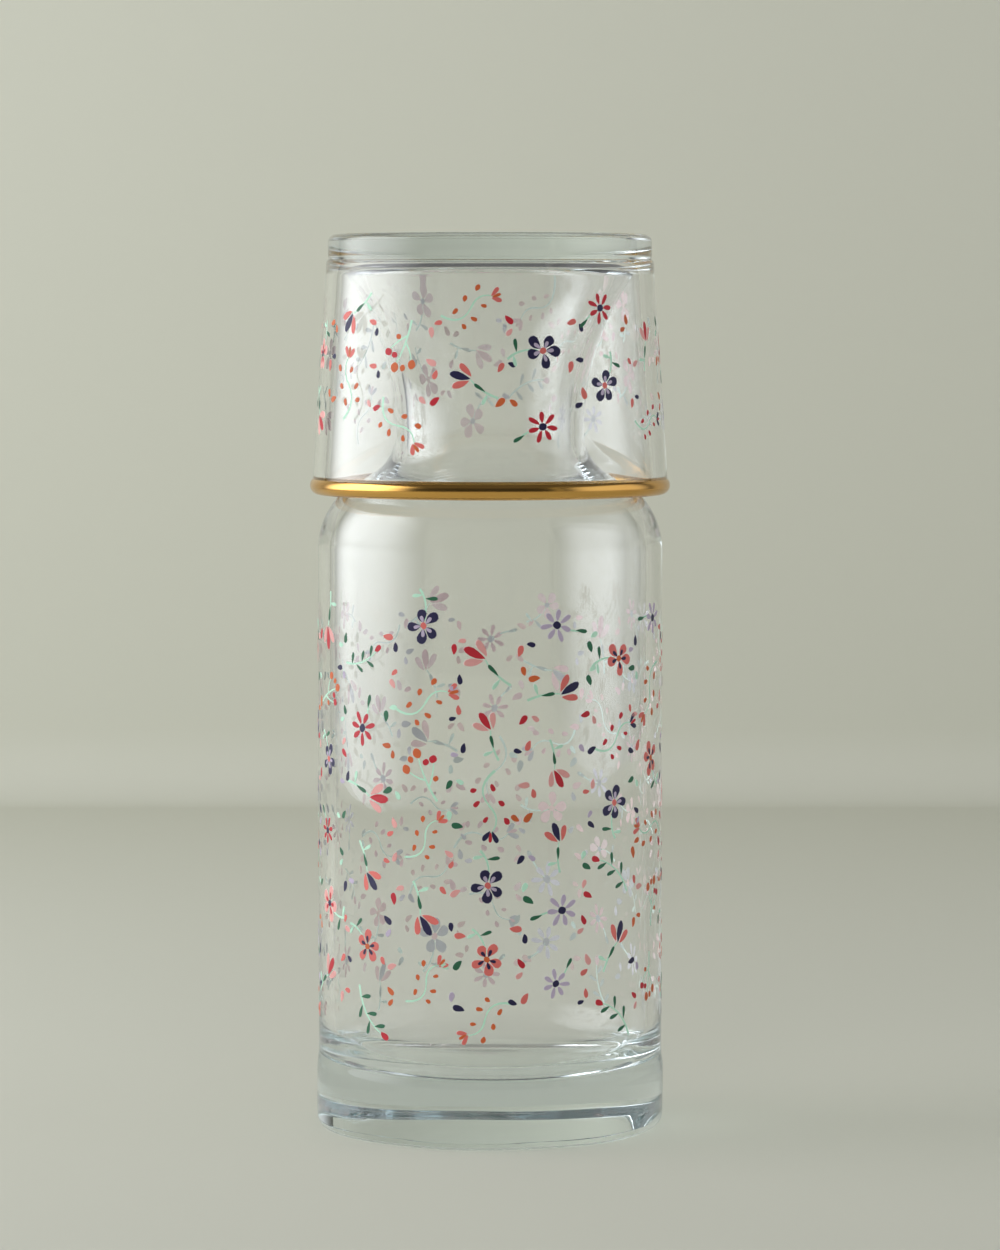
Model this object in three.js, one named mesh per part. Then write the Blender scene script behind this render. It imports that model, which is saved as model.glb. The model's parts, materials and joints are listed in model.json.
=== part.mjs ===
// A glass bedside carafe with its tumbler upside down over the neck.
// Millimetres, +Z up. The origin is the middle of the carafe's foot, on the table.

import * as THREE from 'three';

// Carafe: foot and body
const BODY_RADIUS = 43;
const BODY_WALL = 3.8;
const FOOT_SWELL = 0.5;
const FOOT_HEIGHT = 14;
const FOOT_BLEND = 6;
const FOOT_EDGE = 2.5;
const BASE_THICKNESS = 15.5;
const BASE_CORNER = 7.5;
const STANDING_RING = 7;
const PUNT_DEPTH = 1.2;

// Carafe: shoulder, waisted neck and flared mouth
const SHOULDER_ROUND = 20;
const NECK_ROUND = 12;
const WAIST_RADIUS = 23.4;
const WAIST_HEIGHT = 174;
const NECK_WALL = 3.2;
const MOUTH_INSET = 7.3;
const FLARE_HEIGHT = 40.9;

// Tumbler
const TUMBLER_WALL = 3.4;
const TUMBLER_BASE = 7.8;
const TUMBLER_CORNER = 3;
const TUMBLER_EDGE = 2;
const TUMBLER_RING = 5;
const TUMBLER_PUNT = 1;
const GROOVE_HEIGHT = 1.7;
const GROOVE_WIDTH = 1.4;
const GROOVE_DEPTH = 0.6;
const FOOT_STEP = 0.4;

// Gilded bead on the tumbler's lip
const BEAD_DIAMETER = 4.5;
const BEAD_OVERHANG = 1.9;
const BEAD_CLEARANCE = 3.2;

// Fits
const SEAT_GAP = 0.3;
const MOUTH_CLEARANCE = 1.6;

// Smoothness of the round surfaces
const SEGMENTS_AROUND = 56;
const ARC_DIVISIONS = 3;

// Places that follow from the sizes
const mouthRadius = BODY_RADIUS - MOUTH_INSET;
const mouthHeight = WAIST_HEIGHT + FLARE_HEIGHT;
const beadRadius = BEAD_DIAMETER / 2;
const beadCircle = BODY_RADIUS + BEAD_OVERHANG - beadRadius;
const tumblerFloor = mouthHeight + SEAT_GAP;
const tumblerTop = tumblerFloor + TUMBLER_BASE;

const glass = new THREE.MeshStandardMaterial({
  color: 0xdfe8e2,
  roughness: 0.03,
  metalness: 0,
  transparent: true,
  opacity: 0.35,
});
const tumblerGlass = glass.clone();
const gold = new THREE.MeshStandardMaterial({ color: 0xd0963a, roughness: 0.28, metalness: 1 });

/** Solid of revolution about +Z from a profile drawn as radius and height. */
function turned(name, profile, material) {
  const geometry = new THREE.LatheGeometry(profile.getPoints(ARC_DIVISIONS), SEGMENTS_AROUND);
  geometry.rotateX(Math.PI / 2);
  const mesh = new THREE.Mesh(geometry, material);
  mesh.name = name;
  return mesh;
}

/**
 * One surface of the shoulder and neck: a round shoulder that runs into a hollow round, upright at
 * the waist. Both arcs meet in one tangent, which sets the height of the shoulder's centre.
 */
function shoulderAndNeck(bodyRadius, shoulderRound, waistRadius, neckRound) {
  const shoulder = new THREE.Vector2(bodyRadius - shoulderRound, 0);
  const neck = new THREE.Vector2(waistRadius + neckRound, WAIST_HEIGHT);
  shoulder.y = neck.y - Math.sqrt((shoulderRound + neckRound) ** 2 - (neck.x - shoulder.x) ** 2);
  const meeting = neck.clone().sub(shoulder).angle();
  return { shoulder, neck, meeting, shoulderRound, neckRound };
}

/** Centre and radius of the arc that leaves the waist upright and runs into the round lip. */
function mouthFlare(lip, lipRadius) {
  const out = lip.x - WAIST_RADIUS;
  const up = lip.y - WAIST_HEIGHT;
  const radius = (out ** 2 + up ** 2 - lipRadius ** 2) / (2 * (out + lipRadius));
  const centre = new THREE.Vector2(WAIST_RADIUS + radius, WAIST_HEIGHT);
  return { centre, radius, end: lip.clone().sub(centre).angle() };
}

const outer = shoulderAndNeck(BODY_RADIUS, SHOULDER_ROUND, WAIST_RADIUS, NECK_ROUND);
const inner = shoulderAndNeck(
  BODY_RADIUS - BODY_WALL,
  SHOULDER_ROUND - BODY_WALL,
  WAIST_RADIUS - NECK_WALL,
  NECK_ROUND + NECK_WALL,
);

/** Carafe: under the foot, up the outside, over the lip and down the inside to the floor. */
function carafeProfile() {
  const footRadius = BODY_RADIUS + FOOT_SWELL;
  const ringOuter = footRadius - FOOT_EDGE;
  const ringInner = ringOuter - STANDING_RING;
  const innerRadius = BODY_RADIUS - BODY_WALL;
  const lipRadius = NECK_WALL / 2;
  const lip = new THREE.Vector2(mouthRadius - lipRadius, mouthHeight - lipRadius);
  const flare = mouthFlare(lip, lipRadius);
  const { shoulder, neck } = outer;

  const profile = new THREE.Path();
  profile.moveTo(0, PUNT_DEPTH);
  profile.quadraticCurveTo(ringInner / 2, PUNT_DEPTH, ringInner, 0);
  profile.lineTo(ringOuter, 0);
  profile.absarc(ringOuter, FOOT_EDGE, FOOT_EDGE, -Math.PI / 2, 0);
  profile.lineTo(footRadius, FOOT_HEIGHT);
  profile.lineTo(BODY_RADIUS, FOOT_HEIGHT + FOOT_BLEND);
  profile.absarc(shoulder.x, shoulder.y, outer.shoulderRound, 0, outer.meeting);
  profile.absarc(neck.x, neck.y, outer.neckRound, outer.meeting + Math.PI, Math.PI, true);
  profile.absarc(flare.centre.x, flare.centre.y, flare.radius, Math.PI, flare.end, true);
  profile.absarc(lip.x, lip.y, lipRadius, flare.end - Math.PI, flare.end);
  profile.absarc(flare.centre.x, flare.centre.y, flare.radius + NECK_WALL, flare.end, Math.PI);
  profile.absarc(inner.neck.x, inner.neck.y, inner.neckRound, Math.PI, inner.meeting + Math.PI);
  profile.absarc(inner.shoulder.x, inner.shoulder.y, inner.shoulderRound, inner.meeting, 0, true);
  profile.absarc(
    innerRadius - BASE_CORNER,
    BASE_THICKNESS + BASE_CORNER,
    BASE_CORNER,
    0,
    -Math.PI / 2,
    true,
  );
  profile.lineTo(0, BASE_THICKNESS);
  return profile;
}

// The bead hangs clear of the shoulder's round by its clearance
const beadReach = SHOULDER_ROUND + beadRadius + BEAD_CLEARANCE;
const beadHeight = outer.shoulder.y + Math.sqrt(beadReach ** 2 - (beadCircle - outer.shoulder.x) ** 2);

// The bead is cut flat where its chord is as wide as the wall that stands on it
const seatAngle = Math.acos(TUMBLER_WALL / BEAD_DIAMETER);
const beadSeat = beadHeight + beadRadius * Math.sin(seatAngle);

/** Tumbler, upside down: from the floor of the cup, down the inside and up the outside. */
function tumblerProfile() {
  const lipHeight = beadSeat + SEAT_GAP;
  const lipInner = beadCircle - TUMBLER_WALL / 2;
  const floorInner = mouthRadius + MOUTH_CLEARANCE;
  const wallTop = floorInner + TUMBLER_WALL;
  const footRadius = wallTop - FOOT_STEP;
  const grooveMiddle = tumblerFloor + GROOVE_HEIGHT;
  const ringOuter = footRadius - TUMBLER_EDGE;
  const ringInner = ringOuter - TUMBLER_RING;

  const profile = new THREE.Path();
  profile.moveTo(0, tumblerFloor);
  profile.lineTo(floorInner - TUMBLER_CORNER, tumblerFloor);
  profile.absarc(
    floorInner - TUMBLER_CORNER,
    tumblerFloor - TUMBLER_CORNER,
    TUMBLER_CORNER,
    Math.PI / 2,
    0,
    true,
  );
  profile.lineTo(lipInner, lipHeight);
  profile.lineTo(lipInner + TUMBLER_WALL, lipHeight);
  profile.lineTo(wallTop, grooveMiddle - GROOVE_WIDTH / 2);
  profile.lineTo(wallTop - GROOVE_DEPTH, grooveMiddle);
  profile.lineTo(footRadius, grooveMiddle + GROOVE_WIDTH / 2);
  profile.absarc(ringOuter, tumblerTop - TUMBLER_EDGE, TUMBLER_EDGE, 0, Math.PI / 2);
  profile.lineTo(ringInner, tumblerTop);
  profile.quadraticCurveTo(ringInner / 2, tumblerTop - TUMBLER_PUNT, 0, tumblerTop - TUMBLER_PUNT);
  return profile;
}

/** Gilded bead: a round section, flat on top where the wall stands. */
function beadProfile() {
  const profile = new THREE.Path();
  profile.absarc(beadCircle, beadHeight, beadRadius, Math.PI - seatAngle, 1.5 * Math.PI);
  profile.absarc(beadCircle, beadHeight, beadRadius, 1.5 * Math.PI, 2 * Math.PI + seatAngle);
  profile.closePath();
  return profile;
}

const carafe = new THREE.Group();
carafe.add(turned('carafe_glass', carafeProfile(), glass));

const tumbler = new THREE.Group();
tumbler.add(turned('tumbler_glass', tumblerProfile(), tumblerGlass));
tumbler.add(turned('gold_rim', beadProfile(), gold));

const carafeWithTumbler = new THREE.Group();
carafeWithTumbler.add(carafe, tumbler);

export default carafeWithTumbler;
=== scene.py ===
"""Dress a glass bedside carafe and the tumbler that covers it.

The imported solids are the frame. Both glasses and the gilded lip are turned afresh with fine
surfaces in the place of the solids, flowers are laid on the glass as fired enamel, and a plain
studio lights them.
"""

import json
import logging
import math
from collections.abc import Callable, Mapping, Sequence
from dataclasses import dataclass
from enum import Enum

import bpy
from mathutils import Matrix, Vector

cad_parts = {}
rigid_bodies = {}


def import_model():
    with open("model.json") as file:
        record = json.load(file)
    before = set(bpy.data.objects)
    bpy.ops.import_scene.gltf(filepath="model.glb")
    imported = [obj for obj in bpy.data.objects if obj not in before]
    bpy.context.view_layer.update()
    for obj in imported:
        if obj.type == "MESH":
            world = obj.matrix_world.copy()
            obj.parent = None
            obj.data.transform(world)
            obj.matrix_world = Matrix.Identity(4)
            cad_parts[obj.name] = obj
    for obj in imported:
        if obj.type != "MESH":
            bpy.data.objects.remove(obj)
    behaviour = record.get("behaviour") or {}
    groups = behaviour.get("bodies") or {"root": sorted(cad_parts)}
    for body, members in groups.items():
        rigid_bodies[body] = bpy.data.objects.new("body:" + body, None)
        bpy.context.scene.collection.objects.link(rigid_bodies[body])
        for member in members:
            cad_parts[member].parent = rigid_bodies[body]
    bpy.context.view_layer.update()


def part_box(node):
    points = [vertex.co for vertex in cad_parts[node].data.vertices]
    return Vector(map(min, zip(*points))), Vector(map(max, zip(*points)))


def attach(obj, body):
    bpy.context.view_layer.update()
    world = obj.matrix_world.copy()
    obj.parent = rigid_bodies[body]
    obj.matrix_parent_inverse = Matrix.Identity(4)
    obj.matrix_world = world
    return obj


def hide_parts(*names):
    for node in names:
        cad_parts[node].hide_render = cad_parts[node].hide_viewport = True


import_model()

MM = 0.001
TURN = 2 * math.pi
QUARTER = math.pi / 2
INK = "ink"
TONE = "tone"
SOFT = "soft"
BLACK = (0.0, 0.0, 0.0)

log = logging.getLogger("carafe")

Point = tuple[float, float]
Place = tuple[float, float, float]
Colour = tuple[float, float, float]
Node = bpy.types.Node
Socket = bpy.types.NodeSocket
Material = bpy.types.Material
Mesh = bpy.types.Mesh
Piece = bpy.types.Object


class Ink(Enum):
    """Enamel colours of the flowers, as linear red, green and blue."""

    PINK = (0.78, 0.36, 0.34)
    CORAL = (0.70, 0.15, 0.13)
    RED = (0.52, 0.010, 0.026)
    NAVY = (0.010, 0.007, 0.060)
    RUST = (0.60, 0.115, 0.025)
    GREEN = (0.015, 0.13, 0.060)
    MINT = (0.50, 0.80, 0.62)
    LILAC = (0.50, 0.42, 0.56)


def operator(operation: str, swapped: bool = False) -> "Callable[[Term, Term | float], Term]":
    """Make an operator that adds a Math node.

    Args:
        operation: The node's operation.
        swapped: Whether the other side comes first, as in the reflected forms.

    Returns:
        The operator, as a method of a term.
    """

    def apply(term: "Term", other: "Term | float") -> "Term":
        """Add the node."""
        return term.graph.math(operation, *((other, term) if swapped else (term, other)))

    return apply


class Term:
    """A number on its way through a node tree. Its operators add the Math nodes."""

    __add__ = operator("ADD")
    __radd__ = operator("ADD", swapped=True)
    __sub__ = operator("SUBTRACT")
    __rsub__ = operator("SUBTRACT", swapped=True)
    __mul__ = operator("MULTIPLY")
    __rmul__ = operator("MULTIPLY", swapped=True)
    __truediv__ = operator("DIVIDE")
    __rtruediv__ = operator("DIVIDE", swapped=True)
    __mod__ = operator("MODULO")

    def __init__(self, graph: "Graph", socket: Socket) -> None:
        """Wrap an output socket of a graph."""
        self.graph = graph
        self.socket = socket

    def __floordiv__(self, other: "Term | float") -> "Term":
        """Quotient without its fraction."""
        return self.graph.math("FLOOR", self / other)

    def cos(self) -> "Term":
        """Cosine of an angle in radians."""
        return self.graph.math("COSINE", self)

    def sin(self) -> "Term":
        """Sine of an angle in radians."""
        return self.graph.math("SINE", self)


Fed = Term | Socket | Node | bpy.types.ID | float | int | bool | str | Sequence[float]


def ease(share: Term | float) -> Term | float:
    """Smooth step of a share from 0 to 1."""
    return share * share * (3 - 2 * share)


def dish(radius: float, depth: float) -> Point:
    """Find the arc of a shallow hollow.

    Args:
        radius: Radius of the hollow's edge.
        depth: Its depth in the middle.

    Returns:
        The arc's own radius, and its angle from the middle to the edge.
    """
    size = (radius**2 + depth**2) / (2 * depth)
    return size, math.asin(radius / size)


class Graph:
    """A node tree, with one method that adds any node to it."""

    def __init__(self, tree: bpy.types.NodeTree) -> None:
        """Take a tree to add nodes to."""
        self.tree = tree

    def add(self, kind: str, sockets: Mapping[str | int, Fed] | None = None, **settings: object) -> Node:
        """Add a node.

        Args:
            kind: The node's type name.
            sockets: Values or links for its inputs, by name or by number.
            settings: Its properties, which are set first.

        Returns:
            The new node.
        """
        node = self.tree.nodes.new(kind)
        for name, value in settings.items():
            setattr(node, name, value)
        for key, value in (sockets or {}).items():
            self._feed(node.inputs[key], value)
        return node

    def math(self, operation: str, *terms: Term | float) -> Term:
        """Add a Math node.

        Args:
            operation: The node's operation.
            terms: What it works on.

        Returns:
            Its result.
        """
        node = self.add("ShaderNodeMath", dict(enumerate(terms)), operation=operation)
        return Term(self, node.outputs[0])

    def out(self, node: Node, name: str | int = 0) -> Term:
        """Wrap an output of a node as a term."""
        return Term(self, node.outputs[name])

    def axes(self, vector: Socket | Node) -> tuple[Term, Term, Term]:
        """Split a vector into its three numbers."""
        split = self.add("ShaderNodeSeparateXYZ", {0: vector})
        return self.out(split, "X"), self.out(split, "Y"), self.out(split, "Z")

    def mix(self, share: Fed, first: Node, second: Node) -> Node:
        """Mix two shaders by the share of the second."""
        return self.add("ShaderNodeMixShader", {0: share, 1: first, 2: second})

    def glow(self, colour: Colour, strength: float = 1.0) -> Node:
        """Add an even glow of a colour."""
        return self.add("ShaderNodeEmission", {"Color": (*colour, 1.0), "Strength": strength})

    def one_sided(self, front: Node) -> Node:
        """Make a shader clear from its back."""
        back = self.add("ShaderNodeNewGeometry").outputs["Backfacing"]
        return self.mix(back, front, self.add("ShaderNodeBsdfTransparent"))

    def seen(self) -> Term:
        """Tell what is seen from light itself.

        Returns:
            1 for what the camera sees, straight, mirrored or through glass, and 0 for light.
        """
        path = self.add("ShaderNodeLightPath")
        straight = self.math("MAXIMUM", self.out(path, "Is Camera Ray"), self.out(path, "Is Glossy Ray"))
        return self.math("MAXIMUM", straight, self.out(path, "Is Transmission Ray"))

    def _feed(self, socket: Socket, value: Fed) -> None:
        """Link or set an input.

        Args:
            socket: The input.
            value: A term, a socket or a node, whose first output is linked, or a plain value.
        """
        if isinstance(value, Node):
            value = value.outputs[0]
        elif isinstance(value, Term):
            value = value.socket
        if isinstance(value, Socket):
            self.tree.links.new(value, socket)
        else:
            socket.default_value = value


class Finish(Graph):
    """A material in the making."""

    def __init__(self, name: str) -> None:
        """Start an empty material.

        Args:
            name: The material's name.
        """
        self.material = bpy.data.materials.new(name)
        self.material.use_nodes = True
        self.material.node_tree.nodes.clear()
        super().__init__(self.material.node_tree)

    def place(self) -> Socket:
        """Object coordinates, in metres."""
        return self.add("ShaderNodeTexCoord").outputs["Object"]

    def noise(self, scale: float, detail: float, vector: Socket | None = None) -> Term:
        """Even noise from 0 to 1.

        Args:
            scale: How many grains lie along one metre.
            detail: How many finer layers the noise has.
            vector: Where it is read. Object coordinates if left out.

        Returns:
            The noise as a number.
        """
        where = self.place() if vector is None else vector
        node = self.add(
            "ShaderNodeTexNoise",
            {"Vector": where, "Scale": scale, "Detail": detail},
            noise_dimensions="3D",
        )
        return self.out(node, "Fac")

    def bump(self, height: Term, distance: float, strength: float) -> Socket:
        """A normal that follows a height.

        Args:
            height: The height from 0 to 1.
            distance: How far a height of 1 stands out, in metres.
            strength: How much of it shows.

        Returns:
            The bent normal.
        """
        node = self.add("ShaderNodeBump", {"Height": height, "Distance": distance, "Strength": strength})
        return node.outputs["Normal"]

    def surface(self, shader: Node, volume: Node | None = None) -> Material:
        """Close the material.

        Args:
            shader: The node whose first output is the surface.
            volume: The node whose first output fills the inside, if any.

        Returns:
            The finished material.
        """
        sockets = {"Surface": shader}
        if volume is not None:
            sockets["Volume"] = volume
        self.add("ShaderNodeOutputMaterial", sockets)
        return self.material


@dataclass(frozen=True)
class ClearGlass:
    """Pressed clear glass: a little green where it is thick, and not quite even."""

    name: str
    ior: float = 1.50
    absorbed: Colour = (0.15, 0.45, 0.52)
    absorption: float = 3.0
    shade: Colour = (0.90, 0.91, 0.905)
    ripple_scale: float = 32.0
    ripple_height: float = 0.35 * MM
    ripple_strength: float = 0.10
    film_scale: float = 60.0
    film_low: float = 0.0
    film_high: float = 0.03

    def material(self) -> Material:
        """Make the material.

        Returns:
            Glass with ripples, a faint uneven film and a tint by its thickness.
        """
        finish = Finish(self.name)
        ripple = finish.noise(self.ripple_scale, 1.0)
        film = finish.noise(self.film_scale, 4.0)
        shader = finish.add("ShaderNodeBsdfPrincipled", {
            "Base Color": (1.0, 1.0, 1.0, 1.0),
            "Transmission Weight": 1.0,
            "IOR": self.ior,
            "Roughness": self.film_low + (self.film_high - self.film_low) * film * film,
            "Normal": finish.bump(ripple, self.ripple_height, self.ripple_strength),
        })
        lamplight = finish.add("ShaderNodeLightPath").outputs["Is Shadow Ray"]
        clear = finish.add("ShaderNodeBsdfTransparent", {"Color": (*self.shade, 1.0)})
        lit = finish.mix(lamplight, shader, clear)
        volume = finish.add(
            "ShaderNodeVolumeAbsorption",
            {"Color": (*self.absorbed, 1.0), "Density": self.absorption},
        )
        return finish.surface(lit, volume)


@dataclass(frozen=True)
class SatinGold:
    """Gold fired on the lip, with fine brush lines that run round it."""

    name: str = "satin_gold"
    bright: Colour = (0.84, 0.50, 0.15)
    deep: Colour = (0.60, 0.30, 0.06)
    roughness: float = 0.13
    roughness_spread: float = 0.12
    line_scale: float = 5200.0
    line_height: float = 0.02 * MM
    line_strength: float = 0.25
    line_drift: float = 0.02
    line_share: float = 0.35
    patch_scale: float = 45.0

    def material(self) -> Material:
        """Make the material.

        Returns:
            Gold whose colour, gloss and bump vary with the brush lines and in soft patches.
        """
        finish = Finish(self.name)
        x, y, z = finish.axes(finish.place())
        reach = finish.math("SQRT", x * x + y * y)
        across = finish.add("ShaderNodeCombineXYZ", {"X": reach, "Y": z, "Z": self.line_drift * (x + y)})
        lines = finish.noise(self.line_scale, 2.0, across.outputs[0])
        patches = finish.noise(self.patch_scale, 3.0)
        brightness = self.line_share * lines + (1 - self.line_share) * patches
        colour = finish.add(
            "ShaderNodeMix",
            {0: brightness, 6: (*self.deep, 1.0), 7: (*self.bright, 1.0)},
            data_type="RGBA",
        )
        shader = finish.add("ShaderNodeBsdfPrincipled", {
            "Base Color": colour.outputs[2],
            "Metallic": 1.0,
            "Roughness": self.roughness + self.roughness_spread * lines,
            "Normal": finish.bump(lines, self.line_height, self.line_strength),
        })
        return finish.surface(shader)


@dataclass(frozen=True)
class FiredEnamel:
    """Enamel ink: the flowers' own colours, a little uneven in tone and gloss."""

    name: str = "fired_enamel"
    streak_scale: float = 900.0
    tone_low: float = 0.82
    tone_high: float = 1.12
    gloss: float = 0.42
    gloss_spread: float = 0.25
    streak_height: float = 0.02 * MM
    streak_strength: float = 0.4

    def material(self) -> Material:
        """Make the material.

        Returns:
            Enamel that reads its colour and tone from the print's own attributes.
        """
        finish = Finish(self.name)
        ink = finish.add("ShaderNodeAttribute", attribute_name=INK)
        tone = finish.out(finish.add("ShaderNodeAttribute", attribute_name=TONE), "Fac")
        streak = finish.noise(self.streak_scale, 3.0)
        share = self.tone_low + (self.tone_high - self.tone_low) * (0.5 * tone + 0.5 * streak)
        level = finish.add("ShaderNodeCombineColor", {0: share, 1: share, 2: share})
        colour = finish.add(
            "ShaderNodeMix",
            {0: 1.0, 6: ink.outputs["Color"], 7: level},
            data_type="RGBA",
            blend_type="MULTIPLY",
        )
        shader = finish.add("ShaderNodeBsdfPrincipled", {
            "Base Color": colour.outputs[2],
            "Roughness": self.gloss + self.gloss_spread * streak,
            "Normal": finish.bump(streak, self.streak_height, self.streak_strength),
        })
        return finish.surface(shader)


class Profile:
    """An outline in radius and height, drawn with straight runs and arcs.

    Each of its points is as soft as the glass was when it was pressed, from 0 to 1.
    """

    run_step = 4.0 * MM
    arc_step = math.radians(2.5)
    arc_gap = 0.25 * MM
    least_gap = 0.002 * MM
    ease_rounds = 6

    def __init__(self, radius: float, height: float, soft: float = 0.0) -> None:
        """Start at a point.

        Args:
            radius: The point's radius.
            height: Its height.
            soft: How soft the glass is there.
        """
        self.points: list[Point] = [(radius, height)]
        self.softness = [soft]
        self.soft = soft

    def line(self, radius: float, height: float) -> "Profile":
        """Draw a straight run.

        Args:
            radius: Radius of its end.
            height: Height of its end.

        Returns:
            The profile.
        """
        start = self.points[-1]
        steps = max(1, math.ceil(math.dist(start, (radius, height)) / self.run_step))
        for step in range(1, steps + 1):
            share = step / steps
            self._put(start[0] + share * (radius - start[0]), start[1] + share * (height - start[1]))
        return self

    def arc(self, centre: Point, size: float, start: float, end: float) -> "Profile":
        """Draw an arc, with a straight run to its start if it begins elsewhere.

        Args:
            centre: Radius and height of its centre.
            size: The arc's own radius.
            start: Angle where it starts, in radians from outwards, turning up.
            end: Angle where it ends.

        Returns:
            The profile.
        """
        self.line(centre[0] + size * math.cos(start), centre[1] + size * math.sin(start))
        sweep = abs(end - start)
        turn_step = max(self.arc_step, self.arc_gap / size)
        steps = math.ceil(max(sweep / turn_step, sweep * size / self.run_step))
        for step in range(1, steps + 1):
            angle = start + (end - start) * step / steps
            self._put(centre[0] + size * math.cos(angle), centre[1] + size * math.sin(angle))
        return self

    def _put(self, radius: float, height: float) -> None:
        """Add a point, unless it is where the last one is.

        Args:
            radius: The point's radius.
            height: Its height.
        """
        point = (max(0.0, radius), height)
        if math.dist(point, self.points[-1]) > self.least_gap:
            self.points.append(point)
            self.softness.append(self.soft)

    def eased_softness(self) -> list[float]:
        """Spread every step in the softness over the points next to it.

        Returns:
            The softness of each point.
        """
        eased = self.softness
        for _ in range(self.ease_rounds):
            padded = [eased[0], *eased, eased[-1]]
            threes = zip(padded, padded[1:], padded[2:])
            eased = [(before + 2 * here + after) / 4 for before, here, after in threes]
        return eased


class GeometryGraph(Graph):
    """A Geometry Nodes tree in the making, with named inputs."""

    def __init__(self, name: str) -> None:
        """Start a tree with a geometry input and output.

        Args:
            name: The tree's name.
        """
        super().__init__(bpy.data.node_groups.new(name, "GeometryNodeTree"))
        face = self.tree.interface
        face.new_socket("Geometry", in_out="INPUT", socket_type="NodeSocketGeometry")
        face.new_socket("Geometry", in_out="OUTPUT", socket_type="NodeSocketGeometry")
        self.start = self.add("NodeGroupInput")
        self.identifiers: dict[str, str] = {}

    def input(self, name: str, kind: str) -> Term:
        """Add a named input.

        Args:
            name: The input's name.
            kind: Its socket type, such as NodeSocketFloat.

        Returns:
            The input as a term.
        """
        item = self.tree.interface.new_socket(name, in_out="INPUT", socket_type=kind)
        self.identifiers[name] = item.identifier
        return Term(self, self.start.outputs[name])

    def random(self, low: float, high: float, seed: Term | int) -> Term:
        """A random number for each element.

        Args:
            low: The least value.
            high: The greatest value.
            seed: The draw's seed.

        Returns:
            The number.
        """
        node = self.add("FunctionNodeRandomValue", {2: low, 3: high, "Seed": seed}, data_type="FLOAT")
        return self.out(node, 1)

    def vector(self, x: Term | float, y: Term | float, z: Term | float) -> Socket:
        """Three numbers as a vector."""
        return self.add("ShaderNodeCombineXYZ", {0: x, 1: y, 2: z}).outputs[0]

    def finish(self, geometry: Socket, material: Term) -> None:
        """End the tree.

        Args:
            geometry: What it has made.
            material: The material input that it wears.
        """
        real = self.add("GeometryNodeRealizeInstances", {"Geometry": geometry})
        worn = self.add("GeometryNodeSetMaterial", {"Geometry": real, "Material": material})
        self.add("NodeGroupOutput", {"Geometry": worn})

    def grow(self, name: str, mesh: Mesh, values: Mapping[str, object]) -> Piece:
        """Run the tree on a mesh and keep the result as a plain mesh.

        Args:
            name: The new piece's name.
            mesh: What the tree starts from.
            values: The named inputs.

        Returns:
            The new piece, with no modifier left on it.
        """
        piece = bpy.data.objects.new(name, mesh)
        bpy.context.scene.collection.objects.link(piece)
        modifier = piece.modifiers.new(name, "NODES")
        modifier.node_group = self.tree
        for key, value in values.items():
            modifier[self.identifiers[key]] = value
        graph = bpy.context.evaluated_depsgraph_get()
        grown = bpy.data.meshes.new_from_object(
            piece.evaluated_get(graph), preserve_all_data_layers=True, depsgraph=graph
        )
        grown.name = name
        piece.modifiers.remove(modifier)
        piece.data = grown
        bpy.data.meshes.remove(mesh)
        return piece


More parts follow.
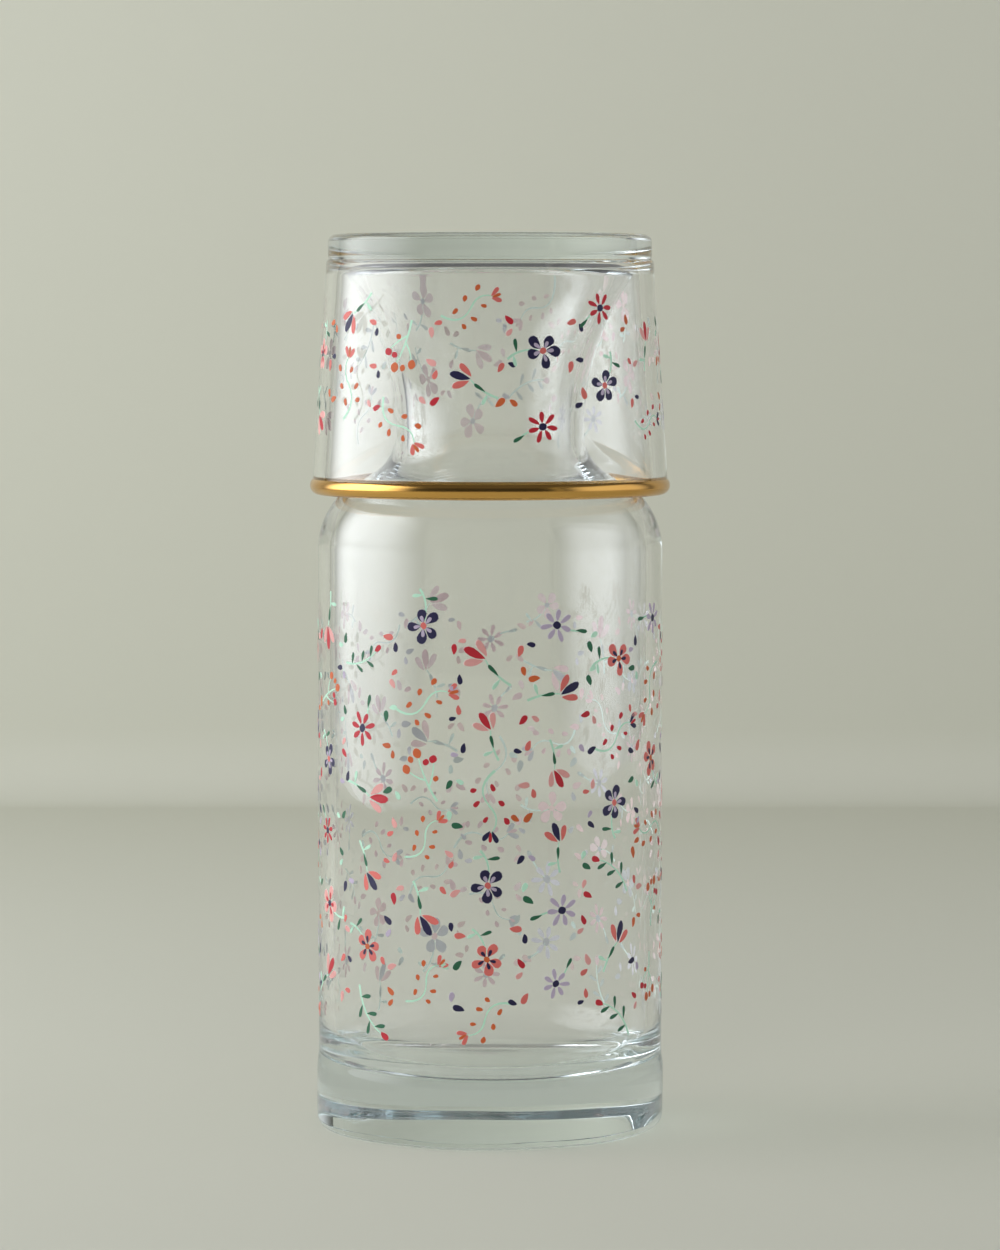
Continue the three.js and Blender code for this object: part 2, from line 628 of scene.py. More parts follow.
class Lathe:
    """Turns a profile round the upright axis, by a Geometry Nodes tree.

    Where the profile is soft, low waves move the surface in and out.
    """

    segments = 256
    weld = 0.001 * MM
    wave_height = 2.5 * MM
    wave_scale = 26.0
    wave_floor = 0.31

    def __init__(self) -> None:
        """Build the tree once for all turned pieces."""
        graph = GeometryGraph("turned_piece")
        segments = graph.input("Segments", "NodeSocketInt")
        weld = graph.input("Weld", "NodeSocketFloat")
        wave_height = graph.input("Wave Height", "NodeSocketFloat")
        wave_scale = graph.input("Wave Scale", "NodeSocketFloat")
        wave_floor = graph.input("Wave Floor", "NodeSocketFloat")
        material = graph.input("Material", "NodeSocketMaterial")
        outline = graph.start.outputs["Geometry"]
        count = graph.add("GeometryNodeAttributeDomainSize", {"Geometry": outline}, component="MESH")
        rows = graph.out(count, "Point Count")
        grid = graph.add("GeometryNodeMeshGrid", {"Vertices X": segments + 1, "Vertices Y": rows})
        index = graph.out(graph.add("GeometryNodeInputIndex"))
        place = graph.add("GeometryNodeInputPosition").outputs[0]
        sample = graph.add(
            "GeometryNodeSampleIndex",
            {"Geometry": outline, "Value": place, "Index": index % rows},
            data_type="FLOAT_VECTOR",
            domain="POINT",
        )
        radius, _, height = graph.axes(sample)
        angle = (index // rows) * TURN / segments
        turned = graph.add("GeometryNodeSetPosition", {
            "Geometry": grid,
            "Position": graph.vector(radius * angle.cos(), radius * angle.sin(), height),
        })
        named = graph.add("GeometryNodeInputNamedAttribute", {"Name": SOFT}, data_type="FLOAT")
        soft = graph.add(
            "GeometryNodeSampleIndex",
            {"Geometry": outline, "Value": named, "Index": index % rows},
            data_type="FLOAT",
            domain="POINT",
        )
        marked = graph.add(
            "GeometryNodeStoreNamedAttribute",
            {"Geometry": turned, "Name": SOFT, "Value": soft},
            data_type="FLOAT",
            domain="POINT",
        )
        welded = graph.add("GeometryNodeMergeByDistance", {"Geometry": marked, "Distance": weld})
        noise = graph.add(
            "ShaderNodeTexNoise",
            {"Vector": place, "Scale": wave_scale, "Detail": 0.0},
            noise_dimensions="3D",
        )
        rise = graph.math("MAXIMUM", graph.out(noise, "Fac") - wave_floor, 0.0)
        swell = rise * wave_height * graph.out(named) * -1.0
        normal = graph.add("GeometryNodeInputNormal").outputs[0]
        outward = graph.add("ShaderNodeVectorMath", {0: normal, "Scale": swell}, operation="SCALE")
        waved = graph.add("GeometryNodeSetPosition", {"Geometry": welded, "Offset": outward})
        bare = graph.add("GeometryNodeRemoveAttribute", {"Geometry": waved, "Name": SOFT})
        smooth = graph.add("GeometryNodeSetShadeSmooth", {"Geometry": bare})
        graph.finish(smooth.outputs[0], material)
        self.graph = graph

    def turn(self, name: str, profile: Profile, material: Material) -> Piece:
        """Make a turned piece.

        Args:
            name: The piece's name.
            profile: Its outline, with the solid on the left as it is drawn.
            material: Its finish.

        Returns:
            The piece.
        """
        mesh = bpy.data.meshes.new(name)
        mesh.from_pydata([(radius, 0.0, height) for radius, height in profile.points], [], [])
        mesh.attributes.new(SOFT, "FLOAT", "POINT").data.foreach_set("value", profile.eased_softness())
        values = {
            "Segments": self.segments,
            "Weld": self.weld,
            "Wave Height": self.wave_height,
            "Wave Scale": self.wave_scale,
            "Wave Floor": self.wave_floor,
            "Material": material,
        }
        return self.graph.grow(name, mesh, values)


@dataclass
class Carafe:
    """The carafe: thick foot, straight body, round shoulder, waisted neck and flared mouth."""

    foot_radius: float
    mouth_height: float
    foot_swell: float = 0.5 * MM
    foot_height: float = 14 * MM
    foot_blend: float = 6 * MM
    foot_edge: float = 2.5 * MM
    base: float = 15.5 * MM
    base_corner: float = 11 * MM
    standing_ring: float = 7 * MM
    punt: float = 1.2 * MM
    wall: float = 3.8 * MM
    shoulder_round: float = 20 * MM
    neck_round: float = 12 * MM
    waist_radius: float = 23.4 * MM
    flare_height: float = 40.9 * MM
    neck_wall: float = 3.2 * MM
    shoulder_thinning: float = 2.0 * MM
    mouth_inset: float = 7.3 * MM
    punt_soft: float = 0.25
    ring_soft: float = 0.45
    floor_soft: float = 0.2
    blend_steps: int = 8

    @property
    def body_radius(self) -> float:
        """Radius of the straight body."""
        return self.foot_radius - self.foot_swell

    @property
    def waist_height(self) -> float:
        """Height of the neck's narrowest place."""
        return self.mouth_height - self.flare_height

    def build(self, lathe: Lathe, material: Material) -> Piece:
        """Turn the carafe.

        Args:
            lathe: What turns it.
            material: Its glass.

        Returns:
            The carafe, in the place of its solid.
        """
        ring_outer = self.foot_radius - self.foot_edge
        ring_inner = ring_outer - self.standing_ring
        profile = Profile(0.0, self.punt, self.punt_soft)
        size, reach = dish(ring_inner, self.punt)
        profile.arc((0.0, self.punt - size), size, QUARTER, QUARTER - reach)
        profile.soft = self.ring_soft
        profile.line(ring_outer, 0.0)
        profile.arc((ring_outer, self.foot_edge), self.foot_edge, -QUARTER, 0.0)
        profile.soft = 0.0
        profile.line(self.foot_radius, self.foot_height)
        self._blend(profile)
        self._shoulder(profile, self.body_radius, self.shoulder_round, 0.0)
        self._mouth(profile)
        inner = self.body_radius - self.wall
        self._shoulder(profile, inner, self.shoulder_round - self.wall, self.neck_wall)
        corner = (inner - self.base_corner, self.base + self.base_corner)
        profile.soft = self.floor_soft
        profile.arc(corner, self.base_corner, 0.0, -QUARTER)
        profile.line(0.0, self.base)
        return lathe.turn("carafe", profile, material)

    def _blend(self, profile: Profile) -> None:
        """Draw the soft step from the foot up to the body.

        Args:
            profile: What is drawn on.
        """
        for step in range(1, self.blend_steps + 1):
            share = step / self.blend_steps
            radius = self.foot_radius - self.foot_swell * ease(share)
            profile.line(radius, self.foot_height + self.foot_blend * share)

    def _shoulder(self, profile: Profile, body: float, rounding: float, sunk: float) -> None:
        """Draw the shoulder and the neck's hollow round.

        Args:
            profile: What is drawn on.
            body: Radius of the body on this side of the glass.
            rounding: The shoulder's own radius on this side.
            sunk: How far this side lies inside the neck's outer side. The inner side runs down.
        """
        hollow = self.neck_round + sunk - (self.shoulder_thinning if sunk else 0.0)
        neck = (self.waist_radius - sunk + hollow, self.waist_height)
        across = neck[0] - (body - rounding)
        rise = math.sqrt((rounding + hollow) ** 2 - across**2)
        shoulder = (body - rounding, self.waist_height - rise)
        meeting = math.atan2(rise, across)
        if sunk:
            profile.arc(neck, hollow, math.pi, math.pi + meeting)
            profile.arc(shoulder, rounding, meeting, 0.0)
        else:
            profile.arc(shoulder, rounding, 0.0, meeting)
            profile.arc(neck, hollow, math.pi + meeting, math.pi)

    def _mouth(self, profile: Profile) -> None:
        """Draw the flare up to the lip, over it and down inside to the waist.

        Args:
            profile: What is drawn on.
        """
        lip_radius = self.neck_wall / 2
        lip = (self.body_radius - self.mouth_inset - lip_radius, self.mouth_height - lip_radius)
        out = lip[0] - self.waist_radius
        rise = lip[1] - self.waist_height
        size = (out**2 + rise**2 - lip_radius**2) / (2 * (out + lip_radius))
        centre = (self.waist_radius + size, self.waist_height)
        end = math.atan2(lip[1] - centre[1], lip[0] - centre[0])
        profile.arc(centre, size, math.pi, end)
        profile.arc(lip, lip_radius, end - math.pi, end)
        profile.arc(centre, size + self.neck_wall, end, math.pi)


@dataclass
class GoldRim:
    """The gilded bead round the tumbler's lip."""

    outer_radius: float
    lowest: float
    diameter: float = 4.5 * MM

    @property
    def circle(self) -> float:
        """Radius of the circle that the bead runs along."""
        return self.outer_radius - self.diameter / 2

    @property
    def height(self) -> float:
        """Height of the bead's middle."""
        return self.lowest + self.diameter / 2

    def build(self, lathe: Lathe, material: Material) -> Piece:
        """Turn the bead.

        Args:
            lathe: What turns it.
            material: Its gold.

        Returns:
            The bead, in the place of its solid.
        """
        size = self.diameter / 2
        profile = Profile(self.circle + size, self.height)
        profile.arc((self.circle, self.height), size, 0.0, TURN)
        return lathe.turn("gold_lip", profile, material)


@dataclass
class Tumbler:
    """The tumbler, upside down: thick base on top, tapered wall down into the gilded lip."""

    top: float
    rim: GoldRim
    base: float = 7.8 * MM
    floor_radius: float = 37.3 * MM
    wall: float = 3.4 * MM
    corner: float = 3 * MM
    edge: float = 2 * MM
    ring: float = 5 * MM
    punt: float = 1 * MM
    groove_height: float = 1.7 * MM
    groove_width: float = 1.4 * MM
    groove_depth: float = 0.6 * MM
    foot_step: float = 0.4 * MM

    @property
    def floor(self) -> float:
        """Height of the cup's floor, which faces down."""
        return self.top - self.base

    @property
    def wall_top(self) -> float:
        """Outer radius of the wall under the base."""
        return self.floor_radius + self.wall

    def radius_at(self, height: float) -> float:
        """Find the wall's outer side.

        Args:
            height: Where it is asked for.

        Returns:
            The outer radius there.
        """
        end = self.floor + self.groove_height - self.groove_width / 2
        share = (height - self.rim.height) / (end - self.rim.height)
        lip_radius = self.rim.circle + self.wall / 2
        return lip_radius + share * (self.wall_top - lip_radius)

    def build(self, lathe: Lathe, material: Material) -> Piece:
        """Turn the tumbler.

        Args:
            lathe: What turns it.
            material: Its glass.

        Returns:
            The tumbler, in the place of its solid.
        """
        foot = self.wall_top - self.foot_step
        groove = self.floor + self.groove_height
        ring_outer = foot - self.edge
        ring_inner = ring_outer - self.ring
        size, reach = dish(ring_inner, self.punt)
        corner = (self.floor_radius - self.corner, self.floor - self.corner)
        profile = Profile(0.0, self.floor)
        profile.arc(corner, self.corner, QUARTER, 0.0)
        profile.arc((self.rim.circle, self.rim.height), self.wall / 2, -math.pi, 0.0)
        profile.line(self.wall_top, groove - self.groove_width / 2)
        profile.line(self.wall_top - self.groove_depth, groove)
        profile.line(foot, groove + self.groove_width / 2)
        profile.arc((ring_outer, self.top - self.edge), self.edge, 0.0, QUARTER)
        profile.line(ring_inner, self.top)
        profile.arc((0.0, self.top - self.punt + size), size, reach - QUARTER, -QUARTER)
        return lathe.turn("tumbler", profile, material)


class Motif:
    """One small motif of the print: pads of enamel, drawn flat in millimetres."""

    sunk = 0.03 * MM
    proud = 0.06 * MM
    layer = 0.03 * MM
    inset = 0.92
    corners = 12
    wobble = 0.14
    ground = 0.6
    bend_steps = 6
    stem_taper = 0.5
    phase_step = 1.7

    def __init__(self, name: str) -> None:
        """Start an empty motif.

        Args:
            name: Its name.
        """
        self.name = name
        self.points: list[Place] = []
        self.faces: list[tuple[int, ...]] = []
        self.inks: list[Colour] = []

    def _ink(self, ink: Ink, count: int) -> None:
        """Colour the next points: the underside first, which the white ground makes pale, then the top."""
        pale = tuple(share + self.ground * (1 - share) for share in ink.value)
        self.inks.extend([pale] * count + [ink.value] * count)

    def petal(
        self,
        at: Point,
        turn: float,
        size: Point,
        ink: Ink,
        narrow: float = 0.45,
        layer: int = 0,
    ) -> "Motif":
        """Add a petal or a leaf as a pad with a sloping edge.

        Args:
            at: Where its narrow end is.
            turn: Its direction in degrees.
            size: Its length and its greatest width.
            ink: Its colour.
            narrow: How much its first end narrows; 0 is an oval.
            layer: How many other pads lie under it.

        Returns:
            The motif.
        """
        cosine, sine = math.cos(math.radians(turn)), math.sin(math.radians(turn))
        length, width = size
        first = len(self.points)
        count = self.corners
        phase = self.phase_step * first
        for share, height in ((1.0, -self.sunk), (self.inset, self.proud + layer * self.layer)):
            for step in range(count):
                angle = math.pi + TURN * (step + 0.5) / count
                along = (1 + share * math.cos(angle)) / 2
                uneven = 1 + self.wobble * math.sin(2 * angle + phase)
                aside = width / 2 * share * uneven * math.sin(angle) * along**narrow
                x = at[0] + length * along * cosine - aside * sine
                y = at[1] + length * along * sine + aside * cosine
                self.points.append((x * MM, y * MM, height))
        self.faces.append(tuple(range(first + count - 1, first - 1, -1)))
        self.faces.append(tuple(range(first + count, first + 2 * count)))
        for step in range(count):
            low, after = first + step, first + (step + 1) % count
            self.faces.append((low, after, after + count, low + count))
        self._ink(ink, count)
        return self

    def dot(self, at: Point, size: float, ink: Ink, layer: int = 0) -> "Motif":
        """Add a round dot of a diameter."""
        return self.petal((at[0] - size / 2, at[1]), 0.0, (size, size), ink, 0.0, layer)

    def stem(self, start: Point, bend: Point, end: Point, width: float, ink: Ink) -> "Motif":
        """Add a stem that bends once and narrows to its end.

        Args:
            start: Where it starts.
            bend: The point that it bends towards.
            end: Where it ends.
            width: Its width at the start.
            ink: Its colour.

        Returns:
            The motif.
        """
        steps = self.bend_steps
        first = len(self.points)
        for height in (-self.sunk, self.proud - self.layer):
            for step in range(steps + 1):
                share = step / steps
                x, y, slope = self._on_bend(start, bend, end, share)
                half = width * (1 - self.stem_taper * share) / 2
                for side in (half, -half):
                    self.points.append(
                        ((x - side * math.sin(slope)) * MM, (y + side * math.cos(slope)) * MM, height)
                    )
        top = 2 * (steps + 1)
        for step in range(steps):
            left, right = first + 2 * step, first + 2 * step + 1
            self.faces.append((left, left + 2, right + 2, right))
            self.faces.append((left + top, right + top, right + top + 2, left + top + 2))
            self.faces.append((left, left + top, left + top + 2, left + 2))
            self.faces.append((right, right + 2, right + top + 2, right + top))
        last = first + 2 * steps
        self.faces.append((first, first + 1, first + 1 + top, first + top))
        self.faces.append((last + 1, last, last + top, last + 1 + top))
        self._ink(ink, top)
        return self

    def mesh(self) -> Mesh:
        """Make the motif's mesh.

        Returns:
            The mesh, which carries its inks as an attribute.
        """
        mesh = bpy.data.meshes.new(self.name)
        mesh.from_pydata(self.points, [], self.faces)
        ink = mesh.attributes.new(INK, "FLOAT_COLOR", "POINT")
        ink.data.foreach_set("color", [part for one in self.inks for part in (*one, 1.0)])
        return mesh

    @staticmethod
    def _on_bend(start: Point, bend: Point, end: Point, share: float) -> Place:
        """Find a point on a bent line.

        Args:
            start: Where the line starts.
            bend: The point that it bends towards.
            end: Where it ends.
            share: How far along the point is, from 0 to 1.

        Returns:
            The point and the line's slope there.
        """
        rest = 1 - share
        x = rest * rest * start[0] + 2 * rest * share * bend[0] + share * share * end[0]
        y = rest * rest * start[1] + 2 * rest * share * bend[1] + share * share * end[1]
        ahead_x = rest * (bend[0] - start[0]) + share * (end[0] - bend[0])
        ahead_y = rest * (bend[1] - start[1]) + share * (end[1] - bend[1])
        return x, y, math.atan2(ahead_y, ahead_x)


class MotifBook:
    """Every motif of the print, in its colourings."""

    def __init__(self) -> None:
        """Draw the large motifs and the small ones, each set in a collection."""
        self.sprays = self._collect(
            "sprays",
            [
                self.blossom(Ink.PINK, Ink.RED, Ink.NAVY),
                self.blossom(Ink.CORAL, Ink.NAVY, Ink.RUST),
                self.blossom(Ink.NAVY, Ink.LILAC, Ink.CORAL),
                self.bud(Ink.RED, Ink.PINK),
                self.bud(Ink.NAVY, Ink.CORAL),
                self.sprig(Ink.GREEN, Ink.RED),
                self.trail(Ink.RUST, Ink.CORAL),
                self.trail(Ink.RED, Ink.NAVY),
                self.berries(Ink.RUST, Ink.RED),
                self.daisy(Ink.LILAC, Ink.NAVY),
                self.daisy(Ink.RED, Ink.NAVY),
            ],
        )
        self.loose = self._collect(
            "loose",
            [
                self.fallen(Ink.PINK, Ink.CORAL),
                self.fallen(Ink.CORAL, Ink.NAVY),
                self.fallen(Ink.RUST, Ink.RUST),
                self.fallen(Ink.NAVY, Ink.LILAC),
                self.fallen(Ink.GREEN, Ink.MINT),
                self.fallen(Ink.RED, Ink.PINK),
            ],
        )

    @staticmethod
    def blossom(petals: Ink, dabs: Ink, heart: Ink) -> Motif:
        """Draw a five-petalled blossom, darker inside, on a short stem with two leaves.

        Args:
            petals: Colour of its petals.
            dabs: Colour of the dabs inside them.
            heart: Colour of its middle.

        Returns:
            The motif.
        """
        motif = Motif(f"blossom_{petals.name}_{heart.name}".lower())
        motif.stem((2.6, -5.6), (0.4, -4.2), (0.0, -0.4), 0.5, Ink.MINT)
        sizes = ((3.0, 2.6), (2.7, 2.4), (3.1, 2.5), (2.6, 2.6), (2.9, 2.3))
        leans = (8, -6, 3, -9, 5)
        for step, (lean, (length, width)) in enumerate(zip(leans, sizes)):
            turn = 90 + 72 * step + lean
            ends = (0.5 * math.cos(math.radians(turn)), 0.5 * math.sin(math.radians(turn)) + 0.7)
            motif.petal(ends, turn, (length, width), petals)
            motif.petal(ends, turn + 4, (0.55 * length, 0.4 * width), dabs, 0.5, 1)
        motif.dot((0.0, 0.7), 1.3, heart, 2)
        motif.petal((1.1, -4.2), 195, (2.6, 1.1), Ink.GREEN, 0.6, 1)
        motif.petal((1.6, -4.8), 25, (2.3, 1.0), Ink.MINT, 0.6, 1)
        return motif

    @staticmethod
    def bud(inside: Ink, outside: Ink) -> Motif:
        """Draw a tulip bud with three petals on a curved stem.

        Args:
            inside: Colour of the middle petal.
            outside: Colour of the other two.

        Returns:
            The motif.
        """
        motif = Motif(f"bud_{inside.name}_{outside.name}".lower())
        motif.stem((-2.8, -5.6), (-2.0, -1.8), (0.0, 0.3), 0.5, Ink.MINT)
        motif.petal((-0.2, 0.5), 120, (3.8, 1.8), outside)
        motif.petal((0.6, 0.2), 50, (3.6, 1.8), outside)
        motif.petal((0.2, 0.3), 85, (4.5, 2.0), inside, 0.4, 1)
        motif.petal((-2.0, -3.0), 62, (2.9, 1.1), Ink.GREEN, 0.6, 1)
        motif.petal((-2.2, -3.4), 165, (2.5, 1.0), Ink.MINT, 0.6, 1)
        return motif

    @staticmethod
    def sprig(leaves: Ink, tip: Ink) -> Motif:
        """Draw a leafy twig with a small bud on its tip.

        Args:
            leaves: Colour of the leaves.
            tip: Colour of the bud.

        Returns:
            The motif.
        """
        motif = Motif(f"sprig_{leaves.name}_{tip.name}".lower())
        motif.stem((-0.8, -6.0), (1.9, -0.6), (-0.7, 4.6), 0.5, Ink.MINT)
        twigs = ((0.1, -3.9, 155), (0.5, -2.5, 35), (0.55, -0.6, 150), (0.5, 0.9, 40), (0.2, 2.4, 155))
        for x, y, turn in twigs:
            motif.petal((x, y), turn, (2.7, 1.15), leaves, 0.6, 1)
        motif.petal((-0.7, 4.0), 105, (2.2, 1.6), tip, 0.3, 1)
        return motif

    @staticmethod
    def trail(seeds: Ink, tip: Ink) -> Motif:
        """Draw a long winding stem with seeds on both sides and a half-open flower at its end.

        Args:
            seeds: Colour of the seeds.
            tip: Colour of the flower.

        Returns:
            The motif.
        """
        motif = Motif(f"trail_{seeds.name}_{tip.name}".lower())
        motif.stem((-1.6, -6.4), (2.6, -4.0), (0.4, -0.4), 0.5, Ink.MINT)
        motif.stem((0.4, -0.4), (-1.6, 2.4), (0.8, 4.6), 0.4, Ink.MINT)
        for x, y, size, turn in (
            (-0.6, -4.2, 1.5, 100),
            (2.1, -3.6, 1.3, 10),
            (1.9, -1.4, 1.5, 30),
            (-1.3, -0.9, 1.4, 140),
            (0.9, 1.6, 1.3, 40),
            (-1.9, 2.2, 1.5, 120),
        ):
            motif.petal((x, y), turn, (size, 0.75 * size), seeds, 0.2, 1)
        motif.petal((0.6, 4.2), 105, (2.4, 1.3), tip)
        motif.petal((0.9, 4.1), 45, (2.3, 1.2), tip)
        motif.petal((0.8, 4.3), 75, (2.0, 0.9), seeds, 0.4, 1)
        return motif

    @staticmethod
    def berries(large: Ink, small: Ink) -> Motif:
        """Draw a forked spray of berries.

        Args:
            large: Colour of the first berries.
            small: Colour of the others.

        Returns:
            The motif.
        """
        motif = Motif(f"berries_{large.name}_{small.name}".lower())
        motif.stem((0.2, -5.8), (-0.5, -1.4), (0.5, 3.4), 0.5, Ink.MINT)
        motif.stem((-0.02, -2.6), (1.7, -1.1), (2.9, 1.1), 0.4, Ink.MINT)
        motif.stem((-0.05, -1.2), (-1.6, -0.2), (-2.6, 1.8), 0.4, Ink.MINT)
        for x, y, size, ink in (
            (0.6, 4.2, 1.9, large),
            (3.1, 1.8, 1.7, small),
            (-2.9, 2.4, 1.8, large),
            (1.5, 1.9, 1.4, small),
            (-1.2, 3.7, 1.3, large),
            (1.9, -1.8, 1.2, large),
        ):
            motif.dot((x, y), size, ink, 1)
        return motif

    @staticmethod
    def daisy(petals: Ink, heart: Ink) -> Motif:
        """Draw a small daisy with seven narrow petals and one leaf.

        Args:
            petals: Colour of its petals.
            heart: Colour of its middle.

        Returns:
            The motif.
        """
        motif = Motif(f"daisy_{petals.name}_{heart.name}".lower())
        motif.stem((-3.4, -5.0), (-2.6, -2.0), (0.0, 0.0), 0.45, Ink.MINT)
        for step in range(7):
            turn = 20 + 360 * step / 7
            ends = (0.7 * math.cos(math.radians(turn)), 0.7 * math.sin(math.radians(turn)))
            motif.petal(ends, turn, (2.3 + 0.3 * (step % 2), 1.2), petals, 0.3)
        motif.dot((0.0, 0.0), 1.6, heart, 1)
        motif.petal((-2.5, -3.0), 240, (2.6, 1.1), Ink.GREEN, 0.6, 1)
        return motif

    @staticmethod
    def fallen(first: Ink, second: Ink) -> Motif:
        """Draw two loose petals.

        Args:
            first: Colour of the larger one.
            second: Colour of the other.

        Returns:
            The motif.
        """
        motif = Motif(f"fallen_{first.name}_{second.name}".lower())
        motif.petal((-1.8, -0.8), 35, (2.3, 1.5), first, 0.35)
        motif.petal((0.8, 0.3), -40, (1.8, 1.25), second, 0.3)
        return motif

    @staticmethod
    def _collect(name: str, motifs: Sequence[Motif]) -> bpy.types.Collection:
        """Put motifs in a collection of their own, out of the scene.

        Args:
            name: The collection's name.
            motifs: What goes in it.

        Returns:
            The collection.
        """
        collection = bpy.data.collections.new(name)
        for motif in motifs:
            collection.objects.link(bpy.data.objects.new(motif.name, motif.mesh()))
        return collection


@dataclass
class PrintField:
    """The band of glass that a print covers."""

    low: float
    high: float
    radius_low: float
    radius_high: float
    columns: int
    rows: int
    seed: int


class FlowerPrint:
    """Scatters motifs over a round of glass in half-drop order, by a Geometry Nodes tree."""

    jitter = 1.4 * MM
    scale_low = 1.1
    scale_high = 1.4
    lengths = ("Low", "High", "Radius Low", "Radius High", "Jitter", "Scale Low", "Scale High")

    def __init__(self, book: MotifBook, material: Material) -> None:
        """Build the tree once for all prints.

        Args:
            book: The motifs.
            material: The enamel that they are printed in.
        """
        self.book = book
        self.material = material
        graph = GeometryGraph("flower_print")
        self.graph = graph
        length = {name: graph.input(name, "NodeSocketFloat") for name in self.lengths}
        columns = graph.input("Columns", "NodeSocketInt")
        rows = graph.input("Rows", "NodeSocketInt")
        seed = graph.input("Seed", "NodeSocketInt")
        sprays = graph.input("Sprays", "NodeSocketCollection")
        loose = graph.input("Loose", "NodeSocketCollection")
        enamel = graph.input("Material", "NodeSocketMaterial")
        round_length = TURN / 2 * (length["Radius Low"] + length["Radius High"])
        cell = (round_length / columns, (length["High"] - length["Low"]) / (rows + 0.5))
        main = self._lattice(columns, rows, cell, length, 0.0, (0.5, 1.0, 0.5), seed)
        between = self._lattice(columns, 2 * rows - 1, cell, length, 0.5, (0.75, 0.5, 0.0), seed + 20)
        joined = graph.add("GeometryNodeJoinGeometry")
        for points, motifs, count, draw in (
            (main, sprays, len(book.sprays.objects), seed + 40),
            (between, loose, len(book.loose.objects), seed + 60),
        ):
            size = graph.random(length["Scale Low"], length["Scale High"], draw + 2)
            graph.tree.links.new(self._place(points, motifs, count, size, draw), joined.inputs[0])
        real = graph.add("GeometryNodeRealizeInstances", {"Geometry": joined})
        wrapped = self._wrap(real.outputs[0], length, round_length)
        graph.finish(wrapped, enamel)

    def lay(self, name: str, band: PrintField) -> Piece:
        """Print a band of glass.

        Args:
            name: The piece's name.
            band: Where it lies.

        Returns:
            The print as one piece.
        """
        values = {
            "Low": band.low,
            "High": band.high,
            "Radius Low": band.radius_low,
            "Radius High": band.radius_high,
            "Jitter": self.jitter,
            "Scale Low": self.scale_low,
            "Scale High": self.scale_high,
            "Columns": band.columns,
            "Rows": band.rows,
            "Seed": band.seed,
            "Sprays": self.book.sprays,
            "Loose": self.book.loose,
            "Material": self.material,
        }
        return self.graph.grow(name, bpy.data.meshes.new(name), values)

    def _lattice(
        self,
        columns: Term,
        rows: Term,
        cell: tuple[Term, Term],
        length: Mapping[str, Term],
        aside: float,
        start: tuple[float, float, float],
        seed: Term,
    ) -> Socket:
        """Points of a lattice, each moved a little.

        Args:
            columns: How many columns go round.
            rows: How many points a column has.
            cell: Width and height of a cell.
            length: The tree's lengths.
            aside: How many cells the columns stand aside.
            start: Height of the first point, of a step up and of every other column's rise, in cells.
            seed: The draw's seed.

        Returns:
            The points, as a mesh of the unrolled glass.
        """
        graph = self.graph
        grid = graph.add("GeometryNodeMeshGrid", {"Vertices X": columns, "Vertices Y": rows})
        index = graph.out(graph.add("GeometryNodeInputIndex"))
        column = index // rows
        first, step, rise = start
        across = (column + aside) * cell[0]
        up = length["Low"] + (first + step * (index % rows) + rise * (column % 2)) * cell[1]
        reach = length["Jitter"]
        moved = graph.add("GeometryNodeSetPosition", {
            "Geometry": grid,
            "Position": graph.vector(
                across + reach * graph.random(-1.0, 1.0, seed),
                up + reach * graph.random(-1.0, 1.0, seed + 1),
                0.0,
            ),
        })
        return moved.outputs[0]

    def _place(self, points: Socket, motifs: Term, count: int, size: Term, seed: Term) -> Socket:
        """Put a motif on each point, picked and turned by chance.

        Args:
            points: Where the motifs go.
            motifs: The collection that they are picked from.
            count: How many motifs it has.
            size: How large each one is.
            seed: The draw's seed.

        Returns:
            The placed motifs.
        """
        graph = self.graph
        picked = graph.add(
            "GeometryNodeCollectionInfo",
            {"Collection": motifs, "Separate Children": True, "Reset Children": True},
        )
        placed = graph.add("GeometryNodeInstanceOnPoints", {
            "Points": points,
            "Instance": picked,
            "Pick Instance": True,
            "Instance Index": graph.math("FLOOR", graph.random(0.0, count - 0.001, seed)),
            "Rotation": graph.vector(0.0, 0.0, graph.random(0.0, TURN, seed + 1)),
            "Scale": graph.vector(size, size, 1.0),
        })
        toned = graph.add(
            "GeometryNodeStoreNamedAttribute",
            {"Geometry": placed, "Name": TONE, "Value": graph.random(0.0, 1.0, seed + 3)},
            data_type="FLOAT",
            domain="INSTANCE",
        )
        return toned.outputs[0]

    def _wrap(self, flat: Socket, length: Mapping[str, Term], round_length: Term) -> Socket:
        """Roll the flat print round the glass.

        Args:
            flat: The print, unrolled.
            length: The tree's lengths.
            round_length: How long the unrolled print is.

        Returns:
            The print on the glass.
        """
        graph = self.graph
        across, up, out = graph.axes(graph.add("GeometryNodeInputPosition"))
        angle = across * TURN / round_length
        share = (up - length["Low"]) / (length["High"] - length["Low"])
        radius = length["Radius Low"] + share * (length["Radius High"] - length["Radius Low"]) + out
        rolled = graph.add(
            "GeometryNodeSetPosition",
            {"Geometry": flat, "Position": graph.vector(radius * angle.cos(), radius * angle.sin(), up)},
        )
        return rolled.outputs[0]


